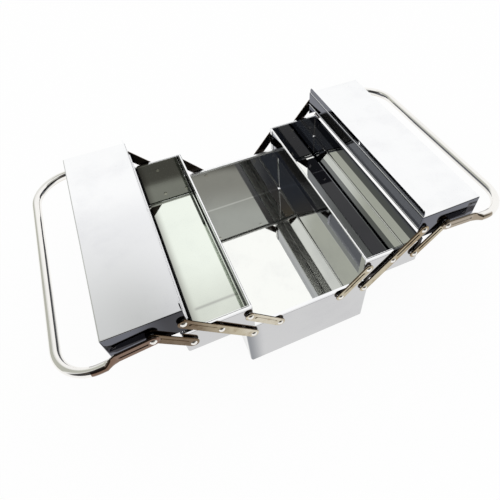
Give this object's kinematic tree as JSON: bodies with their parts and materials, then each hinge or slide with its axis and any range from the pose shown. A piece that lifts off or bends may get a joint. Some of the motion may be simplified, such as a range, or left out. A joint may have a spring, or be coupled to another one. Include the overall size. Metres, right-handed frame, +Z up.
{
  "type": "cantilever tool box",
  "caption": "Open sheet-metal tool box: deep base, swing-out trays on parallel links over it, a lid above each tray and a tube bail handle on each lid.",
  "frame": {"origin": "centre of the underside of the base, on the plane that it stands on", "axes": "+Z up; Y along the length of the box, with the front end facing -Y; X across it, and the right-hand tray and lid swing out towards +X"},
  "size_m": [0.6725, 0.3838, 0.2205],
  "materials": {
    "sheet": "bright polished sheet",
    "link": "warm bright plating",
    "rivet": "bright plated",
    "bail_tube": "bright plated tube"
  },
  "bodies": {
    "base": {"base_long_link_rivets": "rivet", "base_panel_back": "sheet", "base_panel_front": "sheet", "base_short_link_rivets": "rivet", "base_trough": "sheet"},
    "left_long_links": {"left_long_link_front": "link", "left_long_link_back": "link"},
    "left_short_links": {"left_short_link_front": "link", "left_short_link_back": "link"},
    "left_tray": {"left_tray_long_link_rivets": "rivet", "left_tray_outer_link_rivets": "rivet", "left_tray_panel_back": "sheet", "left_tray_panel_front": "sheet", "left_tray_short_link_rivets": "rivet", "left_tray_trough": "sheet"},
    "left_lid": {"left_lid": "sheet", "left_lid_corner_rivets": "rivet", "left_lid_handle_rivets": "rivet", "left_lid_handle_washers": "rivet", "left_lid_long_link_rivets": "rivet"},
    "left_outer_links": {"left_outer_link_front": "link", "left_outer_link_back": "link"},
    "left_handle": {"left_handle": "bail_tube"},
    "right_long_links": {"right_long_link_front": "link", "right_long_link_back": "link"},
    "right_short_links": {"right_short_link_front": "link", "right_short_link_back": "link"},
    "right_tray": {"right_tray_long_link_rivets": "rivet", "right_tray_outer_link_rivets": "rivet", "right_tray_panel_back": "sheet", "right_tray_panel_front": "sheet", "right_tray_short_link_rivets": "rivet", "right_tray_trough": "sheet"},
    "right_lid": {"right_lid": "sheet", "right_lid_corner_rivets": "rivet", "right_lid_handle_rivets": "rivet", "right_lid_handle_washers": "rivet", "right_lid_long_link_rivets": "rivet"},
    "right_outer_links": {"right_outer_link_front": "link", "right_outer_link_back": "link"},
    "right_handle": {"right_handle": "bail_tube"}
  },
  "joints": [
    {"name": "left_fold", "type": "hinge", "parent": "base", "child": "left_long_links", "pos_m": [-0.092, 0, 0.09254], "axis": [0, 1, 0], "range_deg": [0, 83.61]},
    {"name": "left_short_link_turn", "type": "hinge", "parent": "base", "child": "left_short_links", "pos_m": [-0.0505, 0, 0.09404], "axis": [0, 1, 0], "range_deg": [0, 83.61]},
    {"name": "left_tray_level", "type": "hinge", "parent": "left_long_links", "child": "left_tray", "pos_m": [-0.134, 0, 0.1395], "axis": [0, 1, 0], "range_deg": [-83.61, 0]},
    {"name": "left_lid_level", "type": "hinge", "parent": "left_long_links", "child": "left_lid", "pos_m": [-0.176, 0, 0.18646], "axis": [0, 1, 0], "range_deg": [-83.61, 0]},
    {"name": "left_outer_link_turn", "type": "hinge", "parent": "left_tray", "child": "left_outer_links", "pos_m": [-0.1735, 0, 0.1345], "axis": [0, 1, 0], "range_deg": [0, 83.61]},
    {"name": "left_handle_turn", "type": "hinge", "parent": "left_lid", "child": "left_handle", "pos_m": [-0.2155, 0, 0.18146], "axis": [0, 1, 0], "range_deg": [0, 117.44]},
    {"name": "right_fold", "type": "hinge", "parent": "base", "child": "right_long_links", "pos_m": [0.092, 0, 0.09254], "axis": [0, -1, 0], "range_deg": [0, 83.61]},
    {"name": "right_short_link_turn", "type": "hinge", "parent": "base", "child": "right_short_links", "pos_m": [0.0505, 0, 0.09404], "axis": [0, -1, 0], "range_deg": [0, 83.61]},
    {"name": "right_tray_level", "type": "hinge", "parent": "right_long_links", "child": "right_tray", "pos_m": [0.134, 0, 0.1395], "axis": [0, -1, 0], "range_deg": [-83.61, 0]},
    {"name": "right_lid_level", "type": "hinge", "parent": "right_long_links", "child": "right_lid", "pos_m": [0.176, 0, 0.18646], "axis": [0, -1, 0], "range_deg": [-83.61, 0]},
    {"name": "right_outer_link_turn", "type": "hinge", "parent": "right_tray", "child": "right_outer_links", "pos_m": [0.1735, 0, 0.1345], "axis": [0, -1, 0], "range_deg": [0, 83.61]},
    {"name": "right_handle_turn", "type": "hinge", "parent": "right_lid", "child": "right_handle", "pos_m": [0.2155, 0, 0.18146], "axis": [0, -1, 0], "range_deg": [-2.4, 115.04]}
  ],
  "couplings": [
    {"joint": "left_short_link_turn", "follows": "left_fold", "ratio": 1},
    {"joint": "left_tray_level", "follows": "left_fold", "ratio": -1},
    {"joint": "left_lid_level", "follows": "left_fold", "ratio": -1},
    {"joint": "left_outer_link_turn", "follows": "left_fold", "ratio": 1},
    {"joint": "right_short_link_turn", "follows": "right_fold", "ratio": 1},
    {"joint": "right_tray_level", "follows": "right_fold", "ratio": -1},
    {"joint": "right_lid_level", "follows": "right_fold", "ratio": -1},
    {"joint": "right_outer_link_turn", "follows": "right_fold", "ratio": 1}
  ]
}
